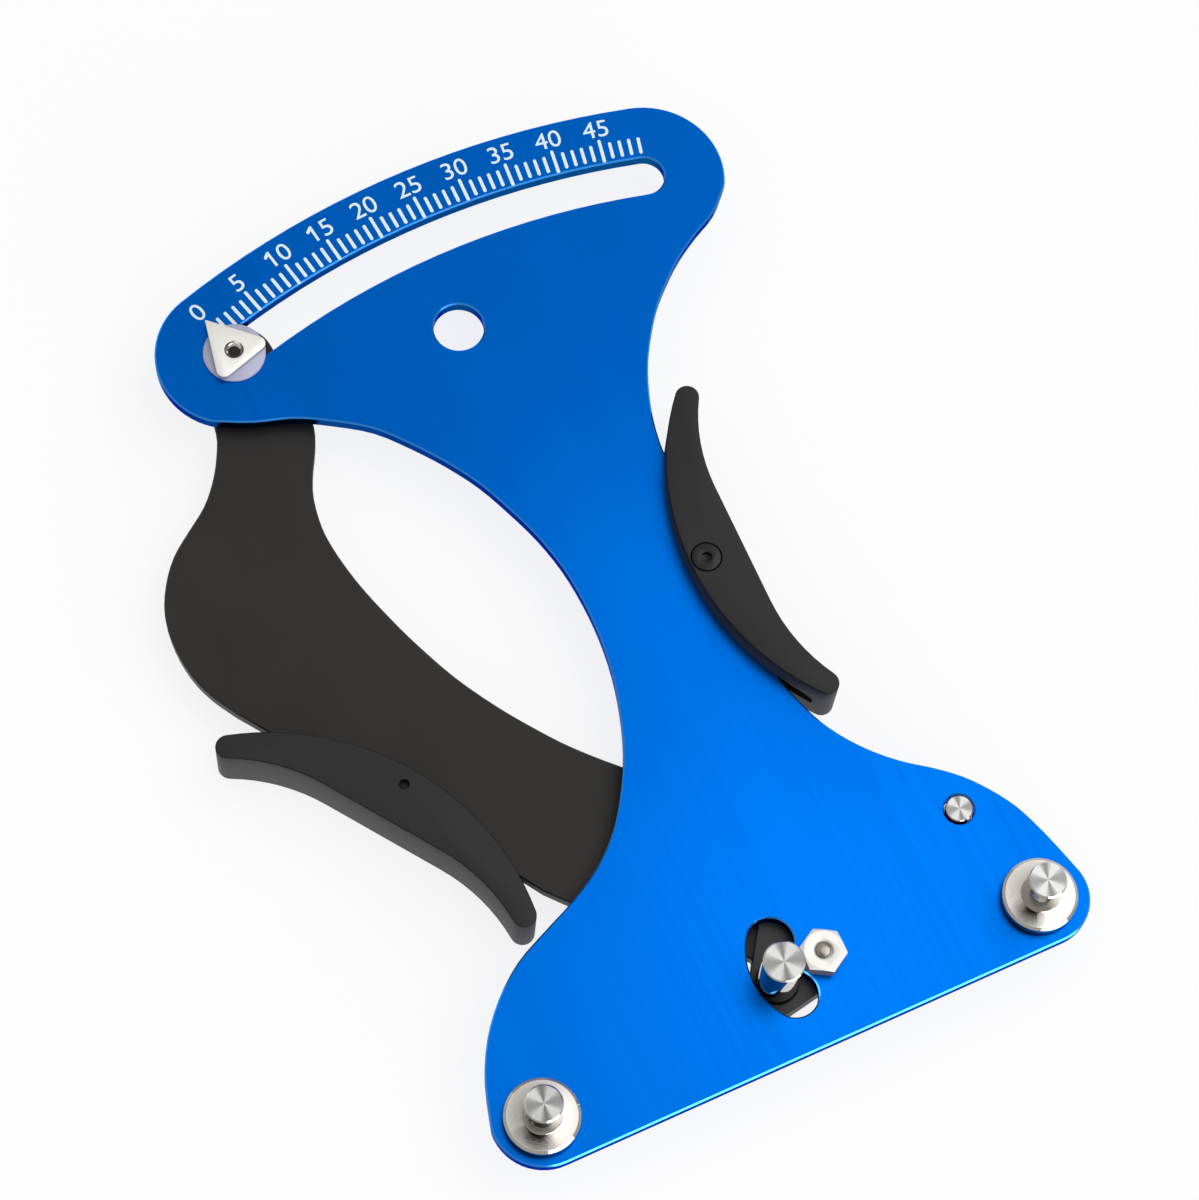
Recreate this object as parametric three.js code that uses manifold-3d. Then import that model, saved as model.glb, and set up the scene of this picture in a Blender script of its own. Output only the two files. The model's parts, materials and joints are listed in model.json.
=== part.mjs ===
// Spoke tension meter: a face plate with two fixed posts and a scale slot, and behind it a
// sprung lever that carries a third post, a grip and a pointer. Sizes are in millimetres.
// The pivot axis is the Z axis, the tool lies on its back on Z = 0, and the scale is at +Y.

import * as THREE from 'three';
import { mergeVertices } from 'three/addons/utils/BufferGeometryUtils.js';
import Module from 'manifold-3d';

const wasm = await Module();
wasm.setup();

// Layout of the whole tool, seen from the front
const fixedPostSpan = 104;
const fixedPostDrop = 7;
const fixedPostShift = 9.4;
const movingPostReach = 9.7;
const movingPostBearing = 185.5;
const scaleRadius = 167.85;
const scaleRim = 15.95;
const pointerOffset = 0.15;
const pointerLead = 0.1;
const pointerRestBearing = 108.3;
const leverTravel = 32;

// Layers, from the resting plane upward
const gripThickness = 12.5;
const leverThickness = 3;
const slidePlateThickness = 1;
const plateThickness = 3;

// Facets and fits
const facetSag = 0.02;
const splineSteps = 3;
const weldDistance = 0.0001;
const fitGap = 0.3;
const cutOverrun = 1;

// Face plate, whose lower edges stand off the fixed posts
const plateFootRim = 9.3;
const plateLeftRim = 9.45;
const plateRightRim = 10.05;
const leftCornerRadius = 10.3;
const rightCornerRadius = 9.1;
const leftLobeRadius = 15.4;
const rightLobeRadius = 16.4;
const scaleSlotWidth = 8.4;
const scaleSlotEndGap = 1.2;
const kidneySlotShift = 0.3;
const kidneySlotRise = 0.55;
const kidneySlotOffset = 0.2;
const kidneySlotClearance = 0.5;
const kidneyUpperSlack = 9.4;
const kidneyLowerSlack = 27.5;
const hangingHoleRadius = 5.1;
const hangingHoleShift = 9.1;
const hangingHoleDrop = 20.85;

// Side outlines of the face plate. A flank is in shares of fixedPostSpan and topRadius, and a
// neck, which follows the scale, in shares of topRadius both ways.
const rightFlankShares = [[0.4909, 0], [0.4748, 0.031], [0.4547, 0.061], [0.4261, 0.088],
  [0.3905, 0.113], [0.3483, 0.134], [0.3032, 0.153], [0.262, 0.175], [0.2264, 0.2], [0.1978, 0.2275],
  [0.1782, 0.2575], [0.1641, 0.288]];
const rightNeckShares = [[0.0926, 0.5777], [0.0979, 0.6117], [0.1079, 0.6447], [0.1215, 0.6766], [0.1391, 0.7061],
  [0.1595, 0.7346], [0.1833, 0.7591], [0.2095, 0.7813], [0.2383, 0.7998], [0.2685, 0.8167]];
const leftNeckShares = [[-0.2988, 0.785], [-0.257, 0.772], [-0.2187, 0.751], [-0.1829, 0.726], [-0.1538, 0.6933],
  [-0.1277, 0.6583], [-0.1055, 0.6213], [-0.0882, 0.5808], [-0.0738, 0.54], [-0.0642, 0.497],
  [-0.0605, 0.453]];
const leftFlankShares = [[-0.1084, 0.4095], [-0.1185, 0.366], [-0.1375, 0.3235], [-0.1646, 0.2825], [-0.2013, 0.244],
  [-0.2464, 0.2085], [-0.3037, 0.179], [-0.3704, 0.157], [-0.4407, 0.139], [-0.51, 0.12],
  [-0.5702, 0.0925], [-0.6194, 0.059], [-0.655, 0.02]];
const rightCornerEnd = 10;
const leftCornerStart = 176;
const rightLobeStart = -28;
const leftLobeEnd = 232;

// Lever plate
const leverTipRadius = 8;
const leverTipStart = 5;
const leverTipEnd = 185;
const leverShoulderShares = [[-0.3364, 0.803], [-0.3483, 0.7721], [-0.3637, 0.7465], [-0.3834, 0.7235], [-0.409, 0.704],
  [-0.4346, 0.6833], [-0.455, 0.6563], [-0.4692, 0.6245], [-0.4734, 0.5875], [-0.4697, 0.552],
  [-0.4595, 0.522], [-0.4425, 0.492]];
const leverHeelShares = [[-0.4052, 0.184], [-0.3453, 0.146], [-0.2781, 0.113], [-0.2108, 0.083],
  [-0.1506, 0.051], [-0.1124, 0.0295]];
const leverHollowShares = [[0.0903, 0.038], [0.0673, 0.076], [0.0381, 0.13], [-0.01, 0.182], [-0.0863, 0.231],
  [-0.1709, 0.2739], [-0.2381, 0.3139]];
const leverArmShares = [[-0.1619, 0.3488], [-0.1896, 0.3895], [-0.217, 0.438], [-0.2391, 0.49], [-0.2525, 0.528],
  [-0.2633, 0.563], [-0.2704, 0.593], [-0.2755, 0.6255], [-0.2764, 0.653], [-0.2714, 0.685],
  [-0.2614, 0.7117], [-0.2471, 0.7386], [-0.2378, 0.7623], [-0.2352, 0.794], [-0.238, 0.827]];
const hubSideInset = 5;
const hubSideLean = 56;
const hubFootInset = 6.05;
const hubFootLean = 10.4;
const hubCornerRadius = 5;
const hubFootReach = 7;

// Slide plate between the lever and the face plate
const slidePlateWidth = 17;
const slidePlateHeight = 14;
const slidePlateCornerRadius = 3;

// Grips: one moulding, used face up on the plate and turned over on the lever
const gripHalfChord = 32.8;
const gripTipRadius = 2.4;
const gripBow = 14.2;
const gripWaist = 2.9;
const gripFlatHalf = 13;
const gripSpine = 4.6;
const gripSlotHalf = 33.2;
const gripScrewInset = 10.7;
const rightGripShares = [0.1335, 0.4359];
const rightGripTurn = 178.9;
const leftGripShares = [-0.365, 0.3082];
const leftGripTurn = 35.2;
const gripSeatHalf = 20;
const gripScrewTipHoleRadius = 1.1;

// Posts
const fixedPostRadius = 3.65;
const fixedPostHeight = 12;
const flangeRadius = 7.25;
const flangeTopRadius = 6.6;
const flangeHeight = 3;
const flangeRimHeight = 2.5;
const movingPostRadius = 4;
const movingPostHeight = 12;
const postChamfer = 0.3;
const postBoreDepth = 9;

// Pivot
const pivotBoltRadius = 2.5;
const pivotHexAcross = 8;
const pivotWasherThickness = 1;
const pivotWasherRadius = 4.5;
const pivotBushRadius = 3.5;
const pivotNutHeight = 3.2;
const pivotNutTurn = 30;
const pivotBoltRecess = 0.4;

// Screws: four millimetre ones hold the posts, three millimetre ones the grips and pointer
const postScrewRadius = 2;
const postScrewHeadRadius = 3.8;
const postScrewHeadHeight = 2.2;
const postScrewCrownRadius = 2.2;
const postScrewSideHeight = 0.9;
const postScrewBite = 7;
const postScrewSocket = 2.5;
const postScrewSocketDepth = 1.3;
const smallScrewRadius = 1.5;
const gripScrewHeadRadius = 2.85;
const gripScrewConeHeight = 1.7;
const gripScrewSocket = 2;
const gripScrewSocketDepth = 1.1;
const gripScrewTipDepth = 1.2;

// Pointer and the parts under it
const pointerThickness = 1.2;
const pointerTipReach = 8.8;
const pointerBaseInset = 3.6;
const pointerBaseHalf = 7;
const pointerCornerRadius = 1.5;
const pointerTipRadius = 0.15;
const pointerDimpleRadius = 2.2;
const pointerDimpleDepth = 0.8;
const pointerScrewSink = 0.6;
const pointerSocketDepth = 1.2;
const pointerWasherRadius = 6.25;
const pointerWasherThickness = 0.7;
const pointerSleeveRadius = 3.1;
const lockNutAcross = 5.5;
const lockNutCollarRadius = 2.6;
const lockNutCollarHeight = 1.2;
const lockWasherRadius = 3.4;
const lockWasherThickness = 0.5;

// Return spring and its two pins
const anchorPinInset = 5.7;
const anchorPinRise = 22.1;
const anchorPinRadius = 2.65;
const anchorPinProud = 0.6;
const anchorCollarRadius = 4.4;
const anchorCollarHeight = 1.2;
const anchorFootRadius = 3.2;
const leverPinSide = 16;
const leverPinDrop = 1.5;
const leverPinRadius = 2;
const leverPinFootRadius = 2.6;
const leverPinFootHeight = 1.1;
const leverTailRadius = 4.2;
const leverTailStart = -96;
const leverTailEnd = 62;
const springWireRadius = 0.45;
const springCoilRadius = 2.55;
const springHookRadius = 2.1;
const springBodyInset = 5;
const springWholeCurls = 11;
const springPhase = -30;
const springLift = 3.6;
const springNeckRadius = 1.3;
const springNeckHalf = 1;
const springNeckSlack = 0.1;
const curlSteps = 8;
const wireSides = 5;

const degrees = Math.PI / 180;
const halfTurn = 180;
const fullTurn = 360;
const topRadius = scaleRadius + scaleRim;
const flat = (x, y) => new THREE.Vector2(x, y);
const bearing = (reach, angle) => flat(reach * Math.cos(angle * degrees), reach * Math.sin(angle * degrees));
const flankPoints = (shares) => shares.map(([x, y]) => flat(x * fixedPostSpan, y * topRadius));
const neckPoints = (shares) => shares.map(([x, y]) => flat(x * topRadius, y * topRadius));

// Heights that follow from the layers
const leverBack = (gripThickness - leverThickness) / 2;
const leverFace = leverBack + leverThickness;
const plateBack = leverFace + slidePlateThickness;
const plateFace = plateBack + plateThickness;

// Places that follow from the layout
const leftPost = flat(-fixedPostShift - fixedPostSpan / 2, -fixedPostDrop);
const rightPost = flat(fixedPostSpan / 2 - fixedPostShift, -fixedPostDrop);
const movingPost = bearing(movingPostReach, movingPostBearing);
const pointerAxis = bearing(scaleRadius + pointerOffset, pointerRestBearing - pointerLead);
const hangingHole = flat(-hangingHoleShift, scaleRadius - hangingHoleDrop);
const anchorPin = flat(-anchorPinInset, anchorPinRise).add(rightPost);
const leverPin = flat(leverPinSide, -leverPinDrop);
const [rightGripMiddle, leftGripMiddle] = neckPoints([rightGripShares, leftGripShares]);
const rightGripPlace = { middle: rightGripMiddle, turn: rightGripTurn };
const leftGripPlace = { middle: leftGripMiddle, turn: leftGripTurn };

// Number of steps that keeps an arc's facets within facetSag of the true curve.
function arcSteps(radius, sweep) {
  const step = 2 * Math.acos(1 - facetSag / radius) / degrees;
  return Math.max(2, Math.ceil(Math.abs(sweep) / step));
}

// Points along an arc, with angles in degrees.
function arc(centre, radius, from, to) {
  const steps = arcSteps(radius, to - from);
  return Array.from({ length: steps + 1 }, (_, i) =>
    bearing(radius, from + (to - from) * i / steps).add(centre));
}

function circle(centre, radius) {
  return arc(centre, radius, 0, fullTurn).slice(1);
}

function spline(points) {
  return new THREE.SplineCurve(points).getPoints((points.length - 1) * splineSteps);
}

// The arc that rounds one corner of a polygon.
function roundCorner(before, at, after, radius) {
  const toBefore = before.clone().sub(at).normalize();
  const toAfter = after.clone().sub(at).normalize();
  const half = Math.acos(toBefore.dot(toAfter)) / 2;
  const centre = toBefore.clone().add(toAfter).normalize()
    .multiplyScalar(radius / Math.sin(half)).add(at);
  const from = toBefore.clone().multiplyScalar(radius / Math.tan(half)).add(at).sub(centre);
  const to = toAfter.clone().multiplyScalar(radius / Math.tan(half)).add(at).sub(centre);
  const start = Math.atan2(from.y, from.x) / degrees;
  const turn = Math.atan2(from.cross(to), from.dot(to)) / degrees;
  return arc(centre, radius, start, start + turn);
}

// A polygon whose corners are rounded to the radii given.
function roundedPolygon(corners, radii) {
  return corners.flatMap((at, i) =>
    roundCorner(corners.at(i - 1), at, corners[(i + 1) % corners.length], radii[i]));
}

// Where a line through one point meets a line through another, each given by its angle.
function meet(pointA, angleA, pointB, angleB) {
  const alongA = bearing(1, angleA);
  const alongB = bearing(1, angleB);
  const between = pointB.clone().sub(pointA);
  return alongA.clone().multiplyScalar(between.cross(alongB) / alongA.cross(alongB)).add(pointA);
}

// A plate cut to an outline, with holes, standing on a height.
function plate(outline, holes, bottom, thickness) {
  const shape = new THREE.Shape(outline);
  shape.holes = holes.map((hole) => new THREE.Path(hole));
  const geometry = new THREE.ExtrudeGeometry(shape, { depth: thickness, bevelEnabled: false });
  return geometry.translate(0, 0, bottom);
}

// A turned piece about Z. The profile lists [radius, height] from the bottom up.
function turned(profile) {
  const widest = Math.max(...profile.map(([radius]) => radius));
  const points = profile.map(([radius, height]) => flat(radius, height));
  return new THREE.LatheGeometry(points, arcSteps(widest, fullTurn)).rotateX(90 * degrees);
}

function ring(innerRadius, outerRadius, bottom, top) {
  return turned([[innerRadius, bottom], [outerRadius, bottom], [outerRadius, top],
    [innerRadius, top], [innerRadius, bottom]]);
}

function cylinder(radius, bottom, top) {
  return turned([[0, bottom], [radius, bottom], [radius, top], [0, top]]);
}

// A six-sided bar by its size across the flats.
function hexBar(across, bottom, top) {
  const face = fullTurn / 6;
  const corner = across / 2 / Math.cos(face / 2 * degrees);
  const corners = Array.from({ length: 6 }, (_, i) => bearing(corner, face * i));
  return plate(corners, [], bottom, top - bottom);
}

function toSolid(geometry) {
  const bare = geometry.clone();
  bare.deleteAttribute('normal');
  bare.deleteAttribute('uv');
  const welded = mergeVertices(bare, weldDistance);
  return new wasm.Manifold(new wasm.Mesh({
    numProp: 3,
    vertProperties: new Float32Array(welded.attributes.position.array),
    triVerts: new Uint32Array(welded.index.array),
  }));
}

function toGeometry(solid) {
  const mesh = solid.getMesh();
  const geometry = new THREE.BufferGeometry();
  geometry.setAttribute('position', new THREE.BufferAttribute(mesh.vertProperties, 3));
  geometry.setIndex(new THREE.BufferAttribute(mesh.triVerts, 1));
  geometry.computeVertexNormals();
  return geometry;
}

function cut(geometry, ...tools) {
  return toGeometry(tools.reduce((solid, tool) => solid.subtract(toSolid(tool)), toSolid(geometry)));
}

function join(...pieces) {
  return toGeometry(pieces.slice(1).reduce((solid, piece) => solid.add(toSolid(piece)), toSolid(pieces[0])));
}

// Maps a point of a grip, given inward from its tip line and along it, to the tool.
function gripPoint(place, inward, along) {
  return flat(inward, along).rotateAround(flat(0, 0), place.turn * degrees).add(place.middle);
}

function facePlateGeometry() {
  const leftLobe = bearing(topRadius - leftLobeRadius, pointerRestBearing);
  const rightBearing = pointerRestBearing - leverTravel;
  const rightLobe = bearing(topRadius - rightLobeRadius, rightBearing);
  const origin = flat(0, 0);
  const seat = [gripSeatHalf, -gripSeatHalf].map((along) =>
    gripPoint(rightGripPlace, gripWaist + gripSpine + fitGap, along));
  const rightCentre = flat(plateRightRim, -plateFootRim).add(rightPost)
    .add(flat(-rightCornerRadius, rightCornerRadius));
  const leftCentre = flat(-plateLeftRim, -plateFootRim).add(leftPost)
    .add(flat(leftCornerRadius, leftCornerRadius));
  const rightCorner = arc(rightCentre, rightCornerRadius, -90, rightCornerEnd);
  const leftCorner = arc(leftCentre, leftCornerRadius, leftCornerStart, 270);
  const rightLobeArc = arc(rightLobe, rightLobeRadius, rightLobeStart, rightBearing);
  const leftLobeArc = arc(leftLobe, leftLobeRadius, pointerRestBearing, leftLobeEnd);
  const outline = [
    ...rightCorner.slice(0, -1),
    ...spline([rightCorner.at(-1), ...flankPoints(rightFlankShares), seat[0]]),
    ...spline([seat[1], ...neckPoints(rightNeckShares), rightLobeArc[0]]).slice(0, -1),
    ...rightLobeArc.slice(0, -1),
    ...arc(origin, topRadius, rightBearing, pointerRestBearing).slice(0, -1),
    ...leftLobeArc.slice(0, -1),
    ...spline([leftLobeArc.at(-1), ...neckPoints(leftNeckShares), ...flankPoints(leftFlankShares),
      leftCorner[0]]).slice(0, -1),
    ...leftCorner,
  ];
  const slotHalf = scaleSlotWidth / 2;
  const slotSlack = slotHalf - pointerSleeveRadius - scaleSlotEndGap;
  const slotStart = pointerRestBearing + slotSlack / scaleRadius / degrees;
  const slotEnd = rightBearing - slotSlack / scaleRadius / degrees;
  const holes = [
    curvedSlot(origin, scaleRadius, scaleSlotWidth, slotEnd, slotStart),
    curvedSlot(flat(kidneySlotShift, kidneySlotRise), movingPostReach + kidneySlotOffset,
      2 * (movingPostRadius + kidneySlotClearance),
      movingPostBearing - leverTravel - kidneyUpperSlack, movingPostBearing + kidneyLowerSlack),
    circle(hangingHole, hangingHoleRadius),
    circle(origin, pivotBoltRadius + fitGap),
    circle(leftPost, postScrewRadius + fitGap),
    circle(rightPost, postScrewRadius + fitGap),
    circle(anchorPin, anchorPinRadius + fitGap),
    circle(gripPoint(rightGripPlace, gripScrewInset, 0), smallScrewRadius + fitGap),
  ];
  return plate(outline, holes, plateBack, plateThickness);
}

// A slot that follows an arc about a centre, with round ends.
function curvedSlot(centre, reach, width, from, to) {
  const half = width / 2;
  return [
    ...arc(centre, reach + half, from, to).slice(0, -1),
    ...arc(bearing(reach, to).add(centre), half, to, to + halfTurn).slice(0, -1),
    ...arc(centre, reach - half, to, from).slice(0, -1),
    ...arc(bearing(reach, from).add(centre), half, from - halfTurn, from).slice(0, -1),
  ];
}

// The hub's straight side and foot, which the lever and its slide plate share.
function hubLines() {
  const side = bearing(hubSideInset, hubSideLean + 90).add(movingPost);
  const foot = bearing(hubFootInset, hubFootLean - 90).add(movingPost);
  return { side, foot, corner: meet(side, hubSideLean, foot, hubFootLean) };
}

function leverPlateGeometry() {
  const { foot, corner } = hubLines();
  const tip = arc(pointerAxis, leverTipRadius, leverTipStart, leverTipEnd);
  const seat = [gripSeatHalf, -gripSeatHalf].map((along) =>
    gripPoint(leftGripPlace, gripWaist + gripSpine + fitGap, along));
  const heel = flankPoints(leverHeelShares);
  const footEnd = bearing(hubFootReach, hubFootLean).add(foot);
  const tail = arc(leverPin, leverTailRadius, leverTailStart, leverTailEnd);
  const outline = [
    ...tip.slice(0, -1),
    ...spline([tip.at(-1), ...neckPoints(leverShoulderShares)]),
    ...seat,
    ...spline(heel),
    ...roundCorner(heel.at(-1), corner, footEnd, hubCornerRadius),
    footEnd,
    ...tail.slice(0, -1),
    ...spline([tail.at(-1), ...flankPoints(leverHollowShares), ...neckPoints(leverArmShares),
      tip[0]]).slice(0, -1),
  ];
  const holes = [
    circle(flat(0, 0), pivotBushRadius + fitGap),
    circle(movingPost, postScrewRadius + fitGap),
    circle(leverPin, leverPinRadius + fitGap),
    circle(pointerAxis, smallScrewRadius + fitGap),
    circle(gripPoint(leftGripPlace, gripScrewInset, 0), smallScrewRadius + fitGap),
  ];
  return plate(outline, holes, leverBack, leverThickness);
}

function slidePlateGeometry() {
  const { side, corner, foot } = hubLines();
  const up = bearing(slidePlateHeight, hubSideLean).add(side);
  const right = bearing(slidePlateWidth, hubFootLean).add(foot);
  const outline = roundedPolygon(
    [corner, right, flat(right.x, up.y), up],
    [hubCornerRadius, slidePlateCornerRadius, slidePlateCornerRadius, slidePlateCornerRadius],
  );
  const holes = [
    circle(flat(0, 0), pivotBushRadius + fitGap),
    circle(movingPost, movingPostRadius + fitGap),
  ];
  return plate(outline, holes, leverFace, slidePlateThickness);
}

// The grip's moulding, with its tip line on Y, its bow towards +X and its screw head on top.
function gripGeometry(slotHeight) {
  const bowRadius = (gripHalfChord ** 2 + gripBow ** 2 - gripTipRadius ** 2)
    / (2 * (gripBow - gripTipRadius));
  const bowCentre = flat(gripBow - bowRadius, 0);
  const runOut = gripHalfChord - gripFlatHalf;
  const scoopRadius = (runOut ** 2 + gripWaist ** 2 - gripTipRadius ** 2)
    / (2 * (gripWaist + gripTipRadius));
  const tips = [-1, 1].map((end) => flat(0, end * gripHalfChord));
  const bowAngle = Math.atan2(gripHalfChord, -bowCentre.x) / degrees;
  const scoopAngle = Math.atan2(scoopRadius - gripWaist, runOut) / degrees;
  const scoopCentres = [-1, 1].map((end) => flat(gripWaist - scoopRadius, end * gripFlatHalf));
  const outline = [
    ...arc(bowCentre, bowRadius, -bowAngle, bowAngle).slice(0, -1),
    ...arc(tips[1], gripTipRadius, bowAngle, 270 - scoopAngle).slice(0, -1),
    ...arc(scoopCentres[1], scoopRadius, 90 - scoopAngle, 0),
    ...arc(scoopCentres[0], scoopRadius, 0, scoopAngle - 90).slice(0, -1),
    ...arc(tips[0], gripTipRadius, 90 + scoopAngle, fullTurn - bowAngle).slice(0, -1),
  ];
  const half = gripThickness / 2;
  const floorRadius = scoopRadius + gripSpine;
  const floorAngle = Math.asin((gripSlotHalf - gripFlatHalf) / floorRadius) / degrees;
  const slot = plate([
    flat(gripBow + cutOverrun, -gripSlotHalf),
    flat(gripBow + cutOverrun, gripSlotHalf),
    ...arc(scoopCentres[1], floorRadius, floorAngle, 0),
    ...arc(scoopCentres[0], floorRadius, 0, -floorAngle),
  ], [], -slotHeight / 2, slotHeight);
  const bore = turned([
    [0, -half - cutOverrun],
    [gripScrewTipHoleRadius, -half - cutOverrun],
    [gripScrewTipHoleRadius, gripScrewTipDepth - fitGap - half],
    [smallScrewRadius + fitGap, gripScrewTipDepth - fitGap - half],
    [smallScrewRadius + fitGap, half - gripScrewConeHeight],
    [gripScrewHeadRadius + fitGap, half - fitGap],
    [gripScrewHeadRadius + fitGap, half + cutOverrun],
    [0, half + cutOverrun],
  ]).translate(gripScrewInset, 0, 0);
  return cut(plate(outline, [], -half, gripThickness), slot, bore);
}

// The grip's countersunk screw, with its head flush with the top of the moulding.
function gripScrewGeometry() {
  const half = gripThickness / 2;
  const body = turned([
    [0, gripScrewTipDepth - half],
    [smallScrewRadius, gripScrewTipDepth - half],
    [smallScrewRadius, half - gripScrewConeHeight],
    [gripScrewHeadRadius, half - fitGap],
    [gripScrewHeadRadius, half],
    [0, half],
  ]);
  const socket = hexBar(gripScrewSocket, half - gripScrewSocketDepth, half + cutOverrun);
  return cut(body, socket).translate(gripScrewInset, 0, 0);
}

// A round-headed screw that comes up from below, with its head's seat at Z = 0.
function postScrewGeometry(length) {
  const body = turned([
    [0, -postScrewHeadHeight],
    [postScrewCrownRadius, -postScrewHeadHeight],
    [postScrewHeadRadius, -postScrewSideHeight],
    [postScrewHeadRadius, 0],
    [postScrewRadius, 0],
    [postScrewRadius, length],
    [0, length],
  ]);
  const socket = hexBar(postScrewSocket, -postScrewHeadHeight - cutOverrun,
    postScrewSocketDepth - postScrewHeadHeight);
  return cut(body, socket);
}

function fixedPostGeometry() {
  const boreRadius = postScrewRadius + fitGap;
  return turned([
    [0, postBoreDepth],
    [boreRadius, postBoreDepth],
    [boreRadius, 0],
    [flangeRadius, 0],
    [flangeRadius, flangeRimHeight],
    [flangeTopRadius, flangeHeight],
    [fixedPostRadius, flangeHeight],
    [fixedPostRadius, fixedPostHeight - postChamfer],
    [fixedPostRadius - postChamfer, fixedPostHeight],
    [0, fixedPostHeight],
  ]);
}

// The moving post stands on the lever, so its foot lies below the face plate.
function movingPostGeometry() {
  const boreRadius = postScrewRadius + fitGap;
  const height = plateFace + movingPostHeight - leverFace;
  return turned([
    [0, postBoreDepth],
    [boreRadius, postBoreDepth],
    [boreRadius, 0],
    [movingPostRadius, 0],
    [movingPostRadius, height - postChamfer],
    [movingPostRadius - postChamfer, height],
    [0, height],
  ]);
}

function pivotBoltGeometry() {
  const headHeight = leverBack - pivotWasherThickness;
  const end = plateFace + pivotNutHeight - pivotBoltRecess;
  return join(hexBar(pivotHexAcross, 0, headHeight), cylinder(pivotBoltRadius, headHeight / 2, end));
}

function pivotNutGeometry() {
  return cut(hexBar(pivotHexAcross, 0, pivotNutHeight),
    cylinder(pivotBoltRadius + fitGap, -cutOverrun, pivotNutHeight + cutOverrun));
}

// The pointer, with its tip along +X and its screw axis at the origin.
function pointerGeometry() {
  const outline = roundedPolygon([
    flat(pointerTipReach, 0),
    flat(-pointerBaseInset, pointerBaseHalf),
    flat(-pointerBaseInset, -pointerBaseHalf),
  ], [pointerTipRadius, pointerCornerRadius, pointerCornerRadius]);
  const boreRadius = smallScrewRadius + fitGap;
  const dimple = turned([
    [0, -cutOverrun],
    [boreRadius, -cutOverrun],
    [boreRadius, pointerThickness - pointerDimpleDepth],
    [pointerDimpleRadius, pointerThickness],
    [pointerDimpleRadius, pointerThickness + cutOverrun],
    [0, pointerThickness + cutOverrun],
  ]);
  return cut(plate(outline, [], 0, pointerThickness), dimple);
}

function pointerScrewGeometry() {
  const top = plateFace + pointerWasherThickness + pointerThickness - pointerScrewSink;
  return cut(cylinder(smallScrewRadius, 0, top),
    hexBar(smallScrewRadius, top - pointerSocketDepth, top + cutOverrun));
}

// A lock nut whose round collar faces down.
function lockNutGeometry() {
  const top = leverBack - lockWasherThickness;
  const body = join(hexBar(lockNutAcross, lockNutCollarHeight, top),
    cylinder(lockNutCollarRadius, 0, top));
  return cut(body, cylinder(smallScrewRadius + fitGap, -cutOverrun, top + cutOverrun));
}

// Both pins hold a hook of the spring in a neck at the spring's height.
const neckBottom = springLift - springNeckHalf;
const neckTop = springLift + springNeckHalf - springNeckSlack;

function anchorPinGeometry() {
  return turned([
    [0, 0],
    [anchorFootRadius, 0],
    [anchorFootRadius, neckBottom],
    [springNeckRadius, neckBottom],
    [springNeckRadius, neckTop],
    [anchorPinRadius, neckTop],
    [anchorPinRadius, plateBack - anchorCollarHeight],
    [anchorCollarRadius, plateBack - anchorCollarHeight],
    [anchorCollarRadius, plateBack],
    [anchorPinRadius, plateBack],
    [anchorPinRadius, plateFace + anchorPinProud],
    [0, plateFace + anchorPinProud],
  ]);
}

function leverPinGeometry() {
  return turned([
    [0, neckBottom - leverPinFootHeight],
    [leverPinFootRadius, neckBottom - leverPinFootHeight],
    [leverPinFootRadius, neckBottom],
    [springNeckRadius, neckBottom],
    [springNeckRadius, leverBack],
    [leverPinRadius, leverBack],
    [leverPinRadius, leverFace],
    [0, leverFace],
  ]);
}

// Centre line of the return spring from one pin to the other: a hook, the curls, a hook.
function springCentreLine() {
  const span = anchorPin.distanceTo(leverPin);
  const curls = springWholeCurls + (halfTurn - 2 * springPhase) / fullTurn;
  const pitch = (span - 2 * springBodyInset) / curls;
  const coil = (angle) => new THREE.Vector3(
    springBodyInset + pitch * (angle - springPhase) / fullTurn,
    springCoilRadius * Math.cos(angle * degrees),
    springCoilRadius * Math.sin(angle * degrees),
  );
  const hook = [];
  for (let angle = 30; angle <= 330; angle += 30) {
    const point = bearing(springHookRadius, angle);
    hook.push(new THREE.Vector3(point.x, point.y, 0));
  }
  const first = coil(springPhase);
  const last = hook.at(-1);
  const rise = [[0.37, 0.445, 0.47], [0.75, 0.87, 0.94]].map(([x, y, z]) => new THREE.Vector3(
    last.x + (first.x - last.x) * x,
    last.y + (first.y - last.y) * y,
    last.z + (first.z - last.z) * z,
  ));
  const half = [...hook, ...rise];
  const body = [];
  const count = Math.round(curls * curlSteps);
  for (let i = 0; i <= count; i += 1) {
    body.push(coil(springPhase + fullTurn * curls * i / count));
  }
  const far = half.map((point) => new THREE.Vector3(span - point.x, -point.y, point.z)).reverse();
  return [...half, ...body, ...far];
}

// Least clear distance between stretches of the wire that aren't next to each other.
function leastGap(points) {
  const reach = [0];
  for (let i = 1; i < points.length; i += 1) {
    reach.push(reach[i - 1] + points[i].distanceTo(points[i - 1]));
  }
  let least = Infinity;
  for (let i = 0; i < points.length; i += 1) {
    for (let j = i + 1; j < points.length; j += 1) {
      if (reach[j] - reach[i] > 6 * springWireRadius) {
        least = Math.min(least, points[i].distanceTo(points[j]) - 2 * springWireRadius);
      }
    }
  }
  return least;
}

function springGeometry() {
  const points = springCentreLine();
  const path = new THREE.CatmullRomCurve3(points, false, 'centripetal');
  const fine = path.getPoints(points.length * 4);
  console.log(`return spring: least gap to itself ${leastGap(fine).toFixed(2)} mm`);
  const section = new THREE.Shape(Array.from({ length: wireSides }, (_, i) =>
    bearing(springWireRadius, fullTurn * i / wireSides)));
  const tube = new THREE.ExtrudeGeometry(section, {
    steps: points.length - 1,
    extrudePath: path,
    bevelEnabled: false,
  });
  const towards = anchorPin.clone().sub(leverPin);
  return tube.rotateZ(Math.atan2(towards.y, towards.x)).translate(leverPin.x, leverPin.y, springLift);
}

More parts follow.
